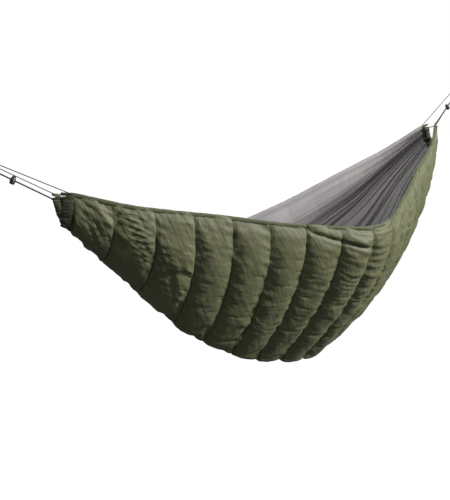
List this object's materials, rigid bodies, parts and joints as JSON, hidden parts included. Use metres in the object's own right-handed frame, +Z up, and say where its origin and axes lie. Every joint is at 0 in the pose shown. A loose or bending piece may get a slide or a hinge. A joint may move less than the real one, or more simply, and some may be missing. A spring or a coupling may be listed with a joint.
{
  "type": "under-hammock camp quilt",
  "caption": "Insulated quilt with sewn cross channels, gathered at both ends and hung under a hammock on elastic cords with drawcords, cord locks and gated hooks.",
  "frame": {"origin": "lowest point of the quilt, in the middle of its length and on its plane of symmetry, which is the middle of the underside of its bounding box", "axes": "+X along the hang towards the right end, +Y towards the far long side, +Z up"},
  "size_m": [2.768, 0.8834, 1.0501],
  "materials": {
    "shell_cloth": "thin ripstop nylon, slight sheen, puckered at the seams",
    "lining_cloth": "thin plain nylon, soft sheen, long gathers towards the ends",
    "fill": "matt fibre batting",
    "binding_cloth": "folded nylon tape, matt",
    "shock_cord": "braided elastic cord",
    "drawcord": "braided cord, matt",
    "lock_plastic": "moulded, fine grain",
    "spring_steel": "drawn wire",
    "hook_alloy": "dark anodised, satin"
  },
  "bodies": {
    "hooks": {"hook_left_body": "hook_alloy", "hook_left_rivet": "spring_steel", "hook_right_body": "hook_alloy", "hook_right_rivet": "spring_steel"},
    "quilt": {"outer_shell": "shell_cloth", "inner_lining": "lining_cloth", "fill_01": "fill", "fill_02": "fill", "fill_03": "fill", "fill_04": "fill", "fill_05": "fill", "fill_06": "fill", "fill_07": "fill", "fill_08": "fill", "fill_09": "fill", "fill_10": "fill", "fill_11": "fill", "fill_12": "fill", "fill_13": "fill", "fill_14": "fill", "fill_15": "fill", "fill_16": "fill", "fill_17": "fill", "side_channel_near": "binding_cloth", "side_channel_far": "binding_cloth", "end_channel_left": "binding_cloth", "end_channel_right": "binding_cloth", "shock_cord": "shock_cord", "drawcord_left": "drawcord", "drawcord_right": "drawcord"},
    "gate_left": {"hook_left_gate": "hook_alloy"},
    "gate_right": {"hook_right_gate": "hook_alloy"},
    "lock_left": {"cord_lock_left_barrel": "lock_plastic", "cord_lock_left_spring": "spring_steel"},
    "lock_right": {"cord_lock_right_barrel": "lock_plastic", "cord_lock_right_spring": "spring_steel"},
    "plunger_left": {"cord_lock_left_plunger": "lock_plastic"},
    "plunger_right": {"cord_lock_right_plunger": "lock_plastic"}
  },
  "joints": [
    {"name": "quilt_swing", "type": "hinge", "parent": "hooks", "child": "quilt", "pos_m": [0, 0, 1.01888], "axis": [1, 0, 0], "range_deg": [-30, 30]},
    {"name": "gate_left_hinge", "type": "hinge", "parent": "hooks", "child": "gate_left", "pos_m": [-1.34097, 0, 1.03093], "axis": [0, 1, 0], "range_deg": [-25, 0], "stiffness_Nm_per_rad": 0.002, "springref_deg": 28.65},
    {"name": "gate_right_hinge", "type": "hinge", "parent": "hooks", "child": "gate_right", "pos_m": [1.34097, 0, 1.03093], "axis": [0, 1, 0], "range_deg": [0, 25], "stiffness_Nm_per_rad": 0.002, "springref_deg": -28.65},
    {"name": "lock_left_slide", "type": "slide", "parent": "quilt", "child": "lock_left", "axis": [-0.848, 0, 0.5299], "range_m": [-0.11, 0.045]},
    {"name": "lock_right_slide", "type": "slide", "parent": "quilt", "child": "lock_right", "axis": [0.848, 0, 0.5299], "range_m": [-0.11, 0.045]},
    {"name": "plunger_left_press", "type": "slide", "parent": "lock_left", "child": "plunger_left", "axis": [-0.5299, 0, -0.848], "range_m": [0, 0.0035], "stiffness_N_per_m": 600, "springref_m": -0.003, "deforming": ["cord_lock_left_spring"]},
    {"name": "plunger_right_press", "type": "slide", "parent": "lock_right", "child": "plunger_right", "axis": [0.5299, 0, -0.848], "range_m": [0, 0.0035], "stiffness_N_per_m": 600, "springref_m": -0.003, "deforming": ["cord_lock_right_spring"]}
  ]
}
